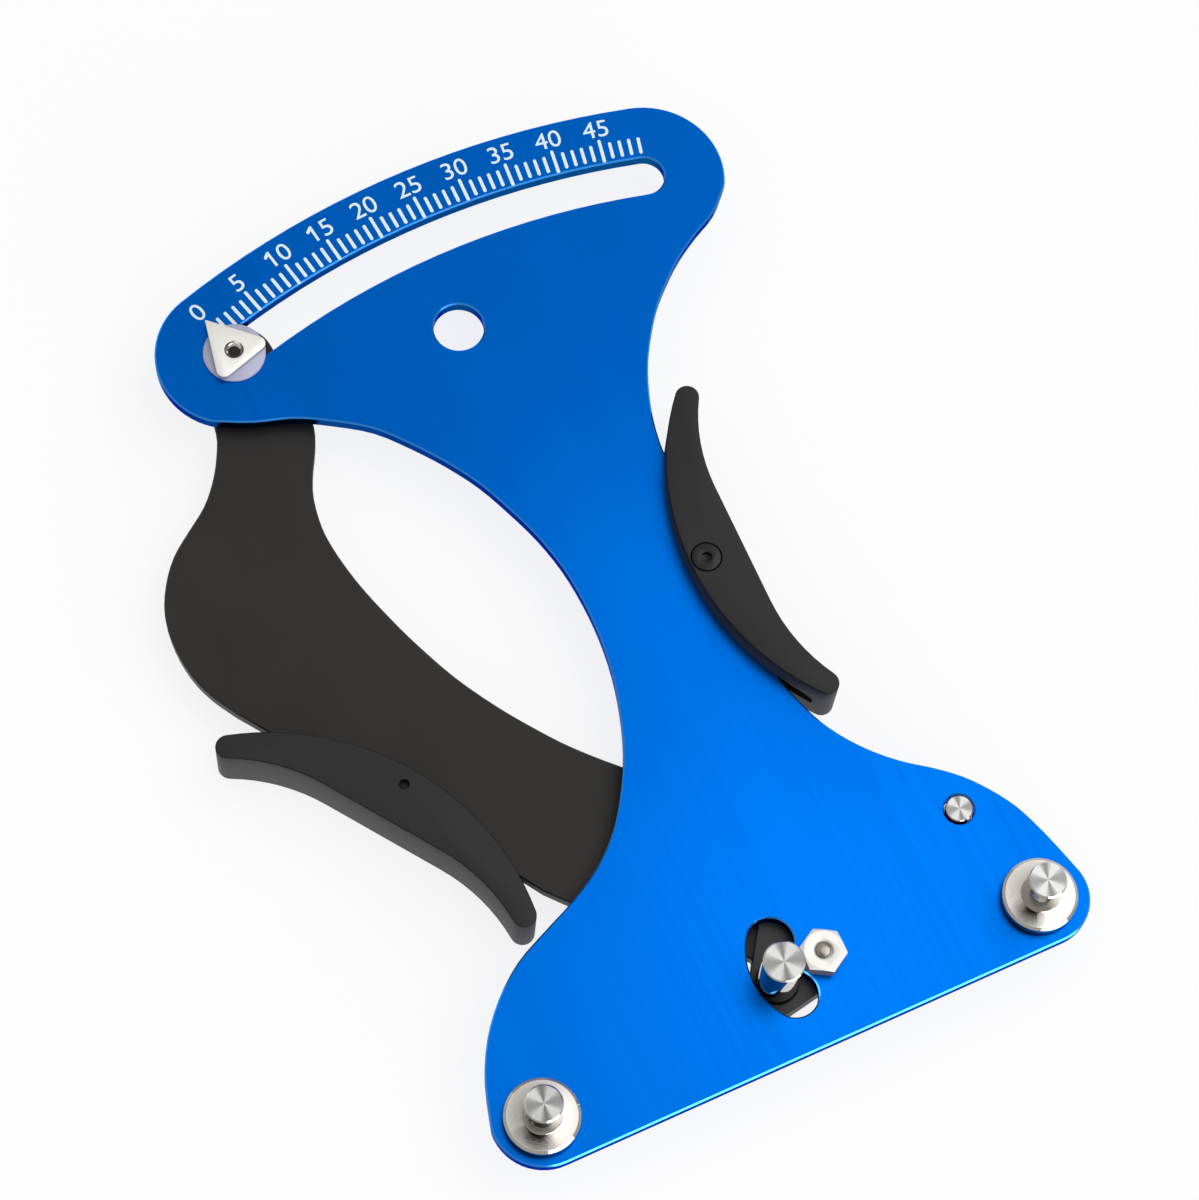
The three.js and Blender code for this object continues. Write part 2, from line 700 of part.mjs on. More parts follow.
const finishes = {
  blueAnodised: { color: 0x0067c8, metalness: 0.8, roughness: 0.35 },
  blackAnodised: { color: 0x3a3634, metalness: 0.5, roughness: 0.5 },
  blackMoulded: { color: 0x333133, metalness: 0, roughness: 0.6 },
  steel: { color: 0xc8c8c6, metalness: 1, roughness: 0.3 },
  nickel: { color: 0xe8e4dc, metalness: 1, roughness: 0.25 },
  blackSteel: { color: 0x2c2a2b, metalness: 0.7, roughness: 0.45 },
  acetal: { color: 0x2e2c2d, metalness: 0, roughness: 0.5 },
  paleWasher: { color: 0xa7b5e5, metalness: 0, roughness: 0.35 },
  brass: { color: 0xb79a55, metalness: 1, roughness: 0.35 },
};

function piece(name, geometry, finish, at = flat(0, 0), height = 0, turn = 0) {
  const mesh = new THREE.Mesh(geometry, new THREE.MeshStandardMaterial(finishes[finish]));
  mesh.name = name;
  mesh.position.set(at.x, at.y, height);
  mesh.rotation.z = turn * degrees;
  return mesh;
}

// Everything that stands still with the face plate.
function frameGroup() {
  const group = new THREE.Group();
  const gripMiddle = plateBack + plateThickness / 2;
  const { middle, turn } = rightGripPlace;
  const postScrewLength = plateThickness + postScrewBite;
  group.add(piece('face_plate', facePlateGeometry(), 'blueAnodised'));
  for (const [side, post] of [['left', leftPost], ['right', rightPost]]) {
    group.add(piece(`fixed_post_${side}`, fixedPostGeometry(), 'steel', post, plateFace));
    group.add(piece(`fixed_post_screw_${side}`, postScrewGeometry(postScrewLength),
      'blackSteel', post, plateBack));
  }
  group.add(piece('pivot_bolt', pivotBoltGeometry(), 'nickel'));
  group.add(piece('pivot_washer', ring(pivotBoltRadius + fitGap, pivotWasherRadius,
    leverBack - pivotWasherThickness, leverBack), 'nickel'));
  group.add(piece('pivot_bush', ring(pivotBoltRadius + fitGap, pivotBushRadius,
    leverBack, plateBack), 'brass'));
  group.add(piece('pivot_nut', pivotNutGeometry(), 'nickel', flat(0, 0), plateFace, pivotNutTurn));
  group.add(piece('spring_anchor_pin', anchorPinGeometry(), 'steel', anchorPin));
  group.add(piece('right_grip', gripGeometry(plateThickness), 'blackMoulded', middle, gripMiddle, turn));
  group.add(piece('right_grip_screw', gripScrewGeometry(), 'blackSteel', middle, gripMiddle, turn));
  group.add(piece('return_spring', springGeometry(), 'nickel'));
  return group;
}

// Everything that turns with the lever about the pivot.
function leverGroup() {
  const group = new THREE.Group();
  const gripMiddle = gripThickness / 2;
  const { middle, turn } = leftGripPlace;
  const washerTop = plateFace + pointerWasherThickness;
  const postScrewLength = leverThickness + postScrewBite;
  const screwBore = smallScrewRadius + fitGap;
  group.add(piece('lever_plate', leverPlateGeometry(), 'blackAnodised'));
  group.add(piece('slide_plate', slidePlateGeometry(), 'acetal'));
  group.add(piece('moving_post', movingPostGeometry(), 'steel', movingPost, leverFace));
  group.add(piece('moving_post_screw', postScrewGeometry(postScrewLength),
    'blackSteel', movingPost, leverBack));
  group.add(piece('left_grip', gripGeometry(leverThickness).rotateX(halfTurn * degrees),
    'blackMoulded', middle, gripMiddle, turn));
  group.add(piece('left_grip_screw', gripScrewGeometry().rotateX(halfTurn * degrees),
    'blackSteel', middle, gripMiddle, turn));
  group.add(piece('pointer_sleeve', ring(screwBore, pointerSleeveRadius, leverFace, plateFace),
    'nickel', pointerAxis));
  group.add(piece('pointer_washer', ring(screwBore, pointerWasherRadius, plateFace, washerTop),
    'paleWasher', pointerAxis));
  group.add(piece('pointer', pointerGeometry(), 'nickel', pointerAxis, washerTop, pointerRestBearing));
  group.add(piece('pointer_screw', pointerScrewGeometry(), 'blackSteel', pointerAxis));
  group.add(piece('pointer_lock_washer', ring(screwBore, lockWasherRadius,
    leverBack - lockWasherThickness, leverBack), 'nickel', pointerAxis));
  group.add(piece('pointer_lock_nut', lockNutGeometry(), 'nickel', pointerAxis));
  group.add(piece('spring_lever_pin', leverPinGeometry(), 'steel', leverPin));
  return group;
}

const tool = new THREE.Group();
tool.add(frameGroup(), leverGroup());

export default tool;
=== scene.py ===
"""Spoke tension meter: the looks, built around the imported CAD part. Sizes are in metres."""

import json
import math

import bpy
from mathutils import Matrix, Vector

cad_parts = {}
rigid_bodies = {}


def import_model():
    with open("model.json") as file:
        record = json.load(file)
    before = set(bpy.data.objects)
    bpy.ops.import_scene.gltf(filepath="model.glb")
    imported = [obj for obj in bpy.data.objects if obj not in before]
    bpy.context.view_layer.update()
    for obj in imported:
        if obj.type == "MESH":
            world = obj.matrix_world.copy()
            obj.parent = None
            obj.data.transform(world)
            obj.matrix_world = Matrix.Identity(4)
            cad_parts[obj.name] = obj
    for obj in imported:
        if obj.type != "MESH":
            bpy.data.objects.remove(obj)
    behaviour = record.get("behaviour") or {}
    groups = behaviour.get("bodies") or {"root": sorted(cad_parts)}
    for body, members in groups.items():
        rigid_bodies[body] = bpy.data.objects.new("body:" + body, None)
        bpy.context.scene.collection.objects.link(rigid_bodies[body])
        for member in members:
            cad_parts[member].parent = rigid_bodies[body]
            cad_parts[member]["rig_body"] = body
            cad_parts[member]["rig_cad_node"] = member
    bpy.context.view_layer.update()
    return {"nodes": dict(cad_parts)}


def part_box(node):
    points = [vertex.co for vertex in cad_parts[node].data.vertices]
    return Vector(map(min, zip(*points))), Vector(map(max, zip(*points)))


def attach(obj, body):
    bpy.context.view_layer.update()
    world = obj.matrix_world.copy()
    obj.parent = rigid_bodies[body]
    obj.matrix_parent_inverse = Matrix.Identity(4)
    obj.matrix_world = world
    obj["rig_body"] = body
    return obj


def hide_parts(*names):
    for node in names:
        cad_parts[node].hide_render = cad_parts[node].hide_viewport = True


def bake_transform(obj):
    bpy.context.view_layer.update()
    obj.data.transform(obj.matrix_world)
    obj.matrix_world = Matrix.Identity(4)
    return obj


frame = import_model()

MM = 0.001
FULL_TURN = math.tau

# The face plate's upper face and the lever plate's back, read from the CAD nodes
plate_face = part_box("face_plate")[1].z
lever_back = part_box("lever_plate")[0].z


def centre_of(node):
    low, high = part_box(node)
    return (low + high) / 2


# ---------------------------------------------------------------- materials


class Value:
    """A number that changes over a surface. Sums on it become Math nodes."""

    def __init__(self, finish, socket):
        self.finish = finish
        self.socket = socket

    def __add__(self, other):
        return self.finish.maths("ADD", self, other)

    def __sub__(self, other):
        return self.finish.maths("SUBTRACT", self, other)

    def __rsub__(self, other):
        return self.finish.maths("SUBTRACT", other, self)

    def __mul__(self, other):
        return self.finish.maths("MULTIPLY", self, other)

    def __pow__(self, other):
        return self.finish.maths("POWER", self, other)

    __radd__ = __add__
    __rmul__ = __mul__


class Shading:
    """The nodes of a material or of the world, in the making."""

    def __init__(self, tree):
        self.tree = tree

    def put(self, node, values):
        for key, value in values.items():
            socket = node.inputs[key]
            if isinstance(value, Value):
                self.tree.links.new(value.socket, socket)
            elif isinstance(value, bpy.types.NodeSocket):
                self.tree.links.new(value, socket)
            else:
                socket.default_value = value
        return node

    def node(self, kind, settings=None, values=None):
        made = self.tree.nodes.new("ShaderNode" + kind)
        for key, value in (settings or {}).items():
            setattr(made, key, value)
        return self.put(made, values or {})

    def maths(self, operation, *values):
        made = self.node("Math", {"operation": operation}, dict(enumerate(values)))
        return Value(self, made.outputs[0])

    def place(self, centre=(0, 0, 0), scale=(1, 1, 1)):
        """Object coordinates about a centre, and then scaled."""
        coordinates = self.node("TexCoord")
        moved = self.node(
            "VectorMath",
            {"operation": "SUBTRACT"},
            {0: coordinates.outputs["Object"], 1: tuple(centre)},
        )
        scaled = self.node(
            "VectorMath", {"operation": "MULTIPLY"}, {0: moved.outputs[0], 1: scale}
        )
        return scaled.outputs[0]

    def noise(self, vector, scale, detail=2.0):
        made = self.node("TexNoise", {}, {"Vector": vector, "Scale": scale, "Detail": detail})
        return Value(self, made.outputs[0])

    def split(self, vector):
        made = self.node("SeparateXYZ", {}, {0: vector})
        return [Value(self, made.outputs[axis]) for axis in "XYZ"]

    def flatness(self):
        """How far a surface faces up or down: 1 on a flat face and 0 on an upright wall."""
        normal = self.node("NewGeometry").outputs["Normal"]
        return self.maths("ABSOLUTE", self.split(normal)[2])

    def reach(self, centre):
        """How far a point lies from an upright axis through a centre."""
        across, along, _ = self.split(self.place(centre))
        return (across * across + along * along) ** 0.5

    def ramp(self, factor, low, high, at_low=0.0, at_high=1.0):
        """Maps a value's range from low to high softly on to another range."""
        made = self.node(
            "MapRange",
            {"interpolation_type": "SMOOTHSTEP"},
            {
                "Value": factor,
                "From Min": low,
                "From Max": high,
                "To Min": at_low,
                "To Max": at_high,
            },
        )
        return Value(self, made.outputs[0])

    def mix(self, factor, first, second):
        made = self.node("Mix", {"data_type": "RGBA"}, {0: factor, 6: first, 7: second})
        return made.outputs[2]


class Finish(Shading):
    """A material with its Principled shader."""

    def __init__(self, name, **sockets):
        self.material = bpy.data.materials.new(name)
        self.material.use_nodes = True
        super().__init__(self.material.node_tree)
        self.shader = self.tree.nodes["Principled BSDF"]
        self.put(self.shader, {key.replace("_", " "): value for key, value in sockets.items()})

    def bump(self, height, depth, strength):
        made = self.node("Bump", {}, {"Height": height, "Distance": depth, "Strength": strength})
        self.put(self.shader, {"Normal": made.outputs[0]})

    def colour(self, value):
        self.put(self.shader, {"Base Color": value})


def linear(red, green, blue):
    """A colour written in the usual 0 to 255 steps, as Blender's linear values."""

    def one(step):
        share = step / 255
        return share / 12.92 if share <= 0.04045 else ((share + 0.055) / 1.055) ** 2.4

    return (one(red), one(green), one(blue), 1.0)


# The black that the painted reflection, the painted shadow and the grain of turned metal darken
# towards
shade_and_grain_black = (0, 0, 0, 1)

# Where one finish gives way to the next, by flatness: 0 on an upright wall and 1 on a flat face
wall_to_chamfer = (0.2, 0.5)
chamfer_to_face = (0.85, 0.95)

# The face plate: painted shade dulls its blue towards the scale, and a painted sheen brightens it
# round the moving post
face_blues = (linear(0, 109, 218), linear(0, 116, 229))
painted_shade_blues = (linear(0, 98, 195), linear(0, 103, 204))
painted_sheen_blue = linear(0, 127, 250)
# Painted shade on the upright walls, and a painted highlight on the chamfers
wall_shade_blue = linear(50, 98, 134)
chamfer_highlight_blue = linear(64, 156, 248)
painted_shade_span = (72 * MM, 128 * MM)
painted_sheen_centre = (-2 * MM, 10 * MM, 0)
painted_sheen_span = (10 * MM, 52 * MM)
painted_sheen_share = 0.6
chamfer_roughness = 0.22


def blue_anodising():
    """Blue on the faces, with painted shade and a painted sheen over them; painted shade on the
    walls that the cutter left, and a painted highlight on the chamfers.
    """
    finish = Finish("blue anodising", Metallic=1.0)
    finish.shader.inputs["Specular Tint"].default_value = linear(60, 130, 235)
    # Both run along the plate, as its rolling marks do
    grain = finish.noise(finish.place(scale=(1400, 16, 1400)), 1.0, 3.0)
    cloud = finish.noise(finish.place(scale=(60, 14, 60)), 1.0, 2.0)
    shade = finish.ramp(grain * 0.4 + cloud * 0.6, 0.3, 0.7)
    _, height, _ = finish.split(finish.place())
    # Painted shade: the blue dulls towards the scale
    shade_dulling = finish.ramp(height, *painted_shade_span)
    face = finish.mix(shade_dulling, finish.mix(shade, *face_blues), finish.mix(shade, *painted_shade_blues))
    # Painted sheen: a brighter blue round the moving post
    sheen_brightening = finish.ramp(finish.reach(painted_sheen_centre), *painted_sheen_span, painted_sheen_share, 0)
    face = finish.mix(sheen_brightening, face, painted_sheen_blue)
    flat = finish.flatness()
    # Painted shade on the walls and a painted highlight on the chamfers, by how far a surface
    # faces up
    edge = finish.mix(finish.ramp(flat, *wall_to_chamfer), wall_shade_blue, chamfer_highlight_blue)
    on_face = finish.ramp(flat, *chamfer_to_face)
    finish.colour(finish.mix(on_face, edge, face))
    face_roughness = finish.ramp(grain, 0.3, 0.7, 0.33, 0.4)
    roughness = face_roughness * on_face + (1 - on_face) * chamfer_roughness
    finish.put(finish.shader, {"Roughness": roughness})
    return finish.material


def black_anodising():
    """Brownish black on the faces, with painted shade darkening the walls."""
    finish = Finish("black anodising", Metallic=0.35, Roughness=0.48)
    cloud = finish.noise(finish.place(scale=(90, 40, 90)), 1.0, 3.0)
    face = finish.mix(finish.ramp(cloud, 0.3, 0.7), linear(37, 35, 33), linear(42, 39, 37))
    flat = finish.ramp(finish.flatness(), 0.3, 0.9)
    # Painted shade: the walls are darker than the faces
    finish.colour(finish.mix(flat, linear(16, 15, 15), face))
    return finish.material


def black_moulding():
    """Grained plastic, with painted light making the walls greyer and painted shade making the
    rounded edges darkest.
    """
    finish = Finish("black moulding", Roughness=0.55)
    finish.shader.inputs["Specular IOR Level"].default_value = 0.35
    fine = finish.noise(finish.place(), 2600.0)
    face = finish.mix(fine, linear(36, 35, 37), linear(41, 40, 42))
    flat = finish.flatness()
    # Painted light greys the walls, and painted shade darkens the rounded edges
    wall = finish.mix(finish.ramp(flat, 0.05, 0.2), linear(50, 49, 52), linear(8, 8, 9))
    finish.colour(finish.mix(finish.ramp(flat, 0.85, 0.98), wall, face))
    finish.bump(fine, 0.02 * MM, 0.35)
    return finish.material


# Turned metal: the rings that the lathe left on an end, and the wedges of painted reflection on
# it, each as its count round the circle and its depth
collar_colour = linear(204, 200, 194)
end_colour = linear(205, 205, 203)
collar_roughness = 0.05
end_roughness = 0.24
ring_pitch = 0.22 * MM
ring_depth = 0.012 * MM
wedge_bearing = math.radians(76)
wedge_level = 0.76
wedge_waves = ((2, 0.09), (4, -0.36), (6, -0.14))
end_depth = (0.35 * MM, 0.3 * MM)
# Painted shadow: a dark band at the foot where it stands on the plate
foot_shadow_band = (0.12 * MM, 0.3 * MM)
foot_shadow_level = 0.15


def turned_metal(name, centre, end, foot=None):
    """Bright metal from the lathe.

    The end, at its height, has bumped rings and wedges of painted reflection in its colour, and
    the foot has a band of painted shadow where it stands on the plate.
    """
    finish = Finish(name, Metallic=1.0)
    across, along, height = finish.split(finish.place(centre))
    rings = finish.maths("SINE", finish.reach(centre) * (FULL_TURN / ring_pitch))
    # Painted reflection: bright and dark wedges round the end, in its colour
    angle = finish.maths("ARCTAN2", along, across) - wedge_bearing
    wedges = wedge_level
    for count, depth in wedge_waves:
        wedges = finish.maths("COSINE", angle * count) * depth + wedges
    top = end - centre[2]
    flat = finish.ramp(finish.flatness(), 0.87, 0.97)
    on_end = finish.ramp(height, *(top - depth for depth in end_depth)) * flat
    grain = finish.noise(finish.place(centre, (3, 3, 3)), 900.0) * 0.1 + 0.95
    level = (on_end * wedges + (1 - on_end)) * grain
    if foot is not None:
        # Painted shadow at the foot, where it stands on the plate
        shadow_heights = (foot - centre[2] + rise for rise in foot_shadow_band)
        level = level * finish.ramp(height, *shadow_heights, foot_shadow_level, 1)
    collar = finish.mix(level, shade_and_grain_black, collar_colour)
    finish.colour(finish.mix(on_end, collar, finish.mix(level, shade_and_grain_black, end_colour)))
    roughness = finish.ramp(on_end, 0, 1, collar_roughness, end_roughness)
    finish.put(finish.shader, {"Roughness": roughness})
    finish.bump(rings, ring_depth, 0.35)
    return finish.material


def plain_metal(name, colour, roughness, metallic=1.0):
    """One colour, with handling wear in its gloss."""
    finish = Finish(name, Metallic=metallic)
    wear = finish.noise(finish.place(), 400.0, 3.0)
    finish.colour(colour)
    worn = finish.ramp(wear, 0.3, 0.7, roughness * 0.85, roughness * 1.15)
    finish.put(finish.shader, {"Roughness": worn})
    return finish.material


pale_plate = linear(255, 253, 247)
plate_metallic = 0.3
dish_rim = 0.08 * MM
dish_roughness = 0.08


def plated(name, upright, dish=None):
    """Pale plating with a faint painted glow, and painted shade in another colour on its upright
    sides.

    A dish is its centre and radius, and its wall is polished.
    """
    finish = Finish(name, Metallic=plate_metallic)
    # A faint warm glow of its own: painted light
    finish.shader.inputs["Emission Color"].default_value = (1, 0.98, 0.94, 1)
    finish.shader.inputs["Emission Strength"].default_value = 0.05
    wear = finish.noise(finish.place(), 400.0, 3.0)
    flat = finish.flatness()
    # Painted shade on the upright sides
    colour = finish.mix(finish.ramp(flat, 0.1, 0.45), upright, pale_plate)
    roughness = finish.ramp(wear, 0.3, 0.7, 0.3, 0.42)
    if dish:
        centre, radius = dish
        inside = finish.ramp(finish.reach(centre), radius, radius - dish_rim)
        polished = inside * finish.ramp(flat, 0.9, 0.97, 1, 0)
        colour = finish.mix(polished, colour, collar_colour)
        roughness = roughness * (1 - polished) + polished * dish_roughness
        metallic = polished * (1 - plate_metallic) + plate_metallic
        finish.put(finish.shader, {"Metallic": metallic})
    finish.colour(colour)
    finish.put(finish.shader, {"Roughness": roughness})
    return finish.material


def slide_plastic():
    finish = Finish("slide plastic", Roughness=0.45)
    finish.colour(linear(46, 44, 47))
    return finish.material


def pale_washer_plastic():
    """Lavender plastic that lets a little of the plate show through."""
    finish = Finish("pale washer", Roughness=0.3)
    finish.colour(linear(204, 206, 232))
    finish.shader.inputs["Alpha"].default_value = 0.86
    return finish.material


def print_ink():
    """White print with slightly uneven cover."""
    finish = Finish("white print", Roughness=0.6)
    # A faint bluish glow of its own: painted light
    finish.shader.inputs["Emission Color"].default_value = (0.8, 0.95, 1, 1)
    finish.shader.inputs["Emission Strength"].default_value = 0.12
    patches = finish.noise(finish.place(), 900.0)
    finish.colour(finish.mix(patches, linear(226, 244, 255), linear(236, 250, 255)))
    return finish.material


# ---------------------------------------------------------------- modelling helpers


def select_only(piece):
    bpy.ops.object.select_all(action="DESELECT")
    piece.select_set(True)
    bpy.context.view_layer.objects.active = piece


def edit(piece):
    select_only(piece)
    bpy.ops.object.mode_set(mode="EDIT")
    bpy.ops.mesh.select_all(action="SELECT")


def leave_edit():
    bpy.ops.object.mode_set(mode="OBJECT")


def settle(piece):
    """Puts the piece's place into its mesh."""
    select_only(piece)
    bpy.ops.object.transform_apply(location=True, rotation=True, scale=True)


sharp_edge = math.radians(35)
hair = 0.01 * MM


def bevel(piece, width, segments=1, method="ANGLE", clamp=False):
    """Breaks the sharp edges, or with the method WEIGHT the edges that have a bevel weight."""
    modifier = piece.modifiers.new("edge", "BEVEL")
    modifier.width = width
    modifier.segments = segments
    modifier.limit_method = method
    modifier.angle_limit = sharp_edge
    modifier.use_clamp_overlap = clamp
    select_only(piece)
    bpy.ops.object.modifier_apply(modifier=modifier.name)


def round_outline(grip, screw, width, segments):
    """Rounds the edges of the grip's highest and lowest faces, but not the screw hole's rim."""
    mesh = grip.data
    levels = [corner[2] for corner in grip.bound_box]
    ends = (min(levels), max(levels))
    rims = set()
    for face in mesh.polygons:
        if abs(face.normal.z) > 0.5:
            continue
        for pair in face.edge_keys:
            points = [mesh.vertices[index].co for index in pair]
            level = any(all(abs(point.z - end) < hair for point in points) for end in ends)
            if level and all((point - screw).xy.length > hole_clearance for point in points):
                rims.add(tuple(sorted(pair)))
    weights = mesh.attributes.new("bevel_weight_edge", "FLOAT", "EDGE")
    for edge, weight in zip(mesh.edges, weights.data):
        weight.value = float(tuple(sorted(edge.vertices)) in rims)
    bevel(grip, width, segments, "WEIGHT")


def smooth(piece, angle=30):
    select_only(piece)
    bpy.ops.object.shade_smooth_by_angle(angle=math.radians(angle))


def finish_piece(piece, body, material, replaces=()):
    """Gives the piece its material and says what it rides on and what it replaces."""
    piece.data.materials.clear()
    piece.data.materials.append(material)
    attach(piece, body)
    if replaces:
        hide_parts(*replaces)
    return piece


def copied(node, name):
    """A copy of a CAD node's mesh, merged and freed of the edges inside its flat faces."""
    source = frame["nodes"][node]
    select_only(source)
    bpy.ops.object.duplicate()
    piece = bpy.context.object
    piece.name = name
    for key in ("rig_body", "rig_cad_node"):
        del piece[key]
    piece.parent = None
    edit(piece)
    bpy.ops.mesh.remove_doubles(threshold=0.0005 * MM)
    bpy.ops.mesh.dissolve_limited(angle_limit=math.radians(0.3))
    leave_edit()
    if piece.data.has_custom_normals:
        bpy.ops.mesh.customdata_custom_splitnormals_clear()
    return piece


lathe_sides = 96


def turned(name, centre, profile):
    """A lathe piece: the profile lists (radius, height) and is closed if it ends as it starts."""
    (radius, height), closed = profile[0], profile[0] == profile[-1]
    bpy.ops.object.select_all(action="DESELECT")
    bpy.ops.mesh.primitive_circle_add(
        vertices=lathe_sides, radius=radius, location=(centre[0], centre[1], height)
    )
    piece = bpy.context.object
    piece.name = name
    edit(piece)
    for next_radius, next_height in profile[1:]:
        bpy.ops.mesh.extrude_edges_move(
            TRANSFORM_OT_translate={"value": (0, 0, next_height - height)}
        )
        share = next_radius / radius
        bpy.ops.transform.resize(
            value=(share, share, 1), center_override=(centre[0], centre[1], next_height)
        )
        radius, height = next_radius, next_height
    bpy.ops.mesh.select_all(action="SELECT")
    if closed:
        bpy.ops.mesh.remove_doubles(threshold=0.001 * MM)
    else:
        bpy.ops.mesh.fill_holes(sides=0)
    bpy.ops.mesh.select_all(action="SELECT")
    bpy.ops.mesh.normals_make_consistent(inside=False)
    leave_edit()
    settle(piece)
    return piece


def combine(piece, tool, operation):
    """Cuts, joins or trims the piece with a tool, which is then deleted."""
    modifier = piece.modifiers.new("shape", "BOOLEAN")
    modifier.operation = operation
    modifier.object = tool
    modifier.solver = "EXACT"
    select_only(piece)
    bpy.ops.object.modifier_apply(modifier=modifier.name)
    bpy.data.objects.remove(tool)


def hex_bar(centre, across, low, high, turn=0.0):
    """A six-sided bar by its width across flats."""
    bpy.ops.object.select_all(action="DESELECT")
    bpy.ops.mesh.primitive_cylinder_add(
        vertices=6,
        radius=across / 2 / math.cos(math.radians(30)),
        depth=high - low,
        location=(centre[0], centre[1], (low + high) / 2),
        rotation=(0, 0, math.radians(turn)),
    )
    tool = bpy.context.object
    settle(tool)
    return tool


# ---------------------------------------------------------------- plates and mouldings

moulding = black_moulding()
nickel = plain_metal("nickel plate", linear(249, 245, 238), 0.22)
black_steel = plain_metal("black oxide", linear(46, 44, 46), 0.42, 0.6)
deep_black = plain_metal("deep black oxide", linear(14, 12, 13), 0.6, 0)
brass = plain_metal("bush brass", linear(184, 156, 88), 0.3)

plate_chamfer = 0.3 * MM
lever_chamfer = 0.25 * MM
slide_edge = 0.06 * MM
grip_edge = 0.3 * MM
hole_clearance = 3.3 * MM

# The shallow seat round each fixed post, from inside the post's flange to a little outside it
seat_inner = 6.9 * MM
seat_play = 0.22 * MM
seat_floor = plate_face - 0.3 * MM
seat_top = plate_face + MM

face_plate = copied("face_plate", "face_plate_anodised")
bevel(face_plate, plate_chamfer)
for node in ("fixed_post_left", "fixed_post_right"):
    centre = centre_of(node)
    seat_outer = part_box(node)[1].x - centre.x + seat_play
    combine(face_plate, turned("seat", centre, [
        (seat_inner, seat_floor),
        (seat_outer, seat_floor),
        (seat_outer, seat_top),
        (seat_inner, seat_top),
        (seat_inner, seat_floor),
    ]), "DIFFERENCE")
smooth(face_plate)
finish_piece(face_plate, "frame", blue_anodising(), ["face_plate"])

lever_plate = copied("lever_plate", "lever_plate_anodised")
bevel(lever_plate, lever_chamfer)
smooth(lever_plate)
finish_piece(lever_plate, "lever", black_anodising(), ["lever_plate"])

slide_plate = copied("slide_plate", "slide_plate_moulded")
bevel(slide_plate, slide_edge, clamp=True)
smooth(slide_plate)
finish_piece(slide_plate, "lever", slide_plastic(), ["slide_plate"])

for side, body in (("right", "frame"), ("left", "lever")):
    grip = copied(f"{side}_grip", f"{side}_grip_moulding")
    round_outline(grip, centre_of(f"{side}_grip_screw"), grip_edge, 3)
    smooth(grip)
    finish_piece(grip, body, moulding, [f"{side}_grip"])

# ---------------------------------------------------------------- posts and pins

screw_bore = 2.3 * MM
bore_depth = 9 * MM
fixed_post_radius = 3.65 * MM
fixed_post_chamfer = 0.3 * MM
flange_foot = 0.2 * MM
flange_wall = 2.4 * MM
flange_shoulder = 2.84 * MM
flange_slope = 0.55 * MM
flange_height = 3.0 * MM

for side in ("left", "right"):
    node = f"fixed_post_{side}"
    low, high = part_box(node)
    centre = centre_of(node)
    flange_radius = (high.x - low.x) / 2
    flange_top = low.z + flange_height
    post = turned(f"{node}_turned", centre, [
        (screw_bore, low.z + bore_depth),
        (screw_bore, low.z),
        (flange_radius - flange_foot, low.z),
        (flange_radius, low.z + flange_foot),
        (flange_radius, low.z + flange_wall),
        (flange_radius - flange_slope, low.z + flange_shoulder),
        (fixed_post_radius + 0.35 * MM, flange_top),
        (fixed_post_radius + 0.1 * MM, flange_top + 0.06 * MM),
        (fixed_post_radius, flange_top + 0.3 * MM),
        (fixed_post_radius, high.z - fixed_post_chamfer),
        (fixed_post_radius - fixed_post_chamfer, high.z),
    ])
    smooth(post)
    steel = turned_metal(f"{side} post steel", centre, high.z, low.z)
    finish_piece(post, "frame", steel, [node])

edge_break = 0.12 * MM
moving_post_chamfer = 0.25 * MM

low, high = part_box("moving_post")
centre = centre_of("moving_post")
moving_post_radius = (high.x - low.x) / 2
moving_post = turned("moving_post_turned", centre, [
    (screw_bore, low.z + bore_depth),
    (screw_bore, low.z),
    (moving_post_radius - edge_break, low.z),
    (moving_post_radius, low.z + edge_break),
    (moving_post_radius, high.z - moving_post_chamfer),
    (moving_post_radius - moving_post_chamfer, high.z),
])
smooth(moving_post)
steel = turned_metal("moving post steel", centre, high.z)
finish_piece(moving_post, "lever", steel, ["moving_post"])

# The spring's two pins: a head below, a groove for the hook, and a shank
head_top = 2.6 * MM
groove_radius = 1.3 * MM
anchor_head = 3.2 * MM
anchor_shank = 2.65 * MM
anchor_groove_top = 4.5 * MM
anchor_collar = 4.4 * MM
anchor_collar_low = 7.55 * MM
anchor_collar_high = 8.75 * MM
anchor_chamfer = 0.2 * MM
lever_pin_head = 2.6 * MM
lever_pin_shank = 2.0 * MM

low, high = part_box("spring_anchor_pin")
centre = centre_of("spring_anchor_pin")
anchor_pin = turned("spring_anchor_pin_turned", centre, [
    (anchor_head - edge_break, low.z),
    (anchor_head, low.z + edge_break),
    (anchor_head, head_top),
    (groove_radius, head_top),
    (groove_radius, anchor_groove_top),
    (anchor_shank, anchor_groove_top),
    (anchor_shank, anchor_collar_low),
    (anchor_collar - edge_break, anchor_collar_low),
    (anchor_collar, anchor_collar_low + edge_break),
    (anchor_collar, anchor_collar_high),
    (anchor_shank, anchor_collar_high),
    (anchor_shank, high.z - anchor_chamfer),
    (anchor_shank - anchor_chamfer, high.z),
])
smooth(anchor_pin)
steel = turned_metal("anchor pin steel", centre, high.z)
finish_piece(anchor_pin, "frame", steel, ["spring_anchor_pin"])

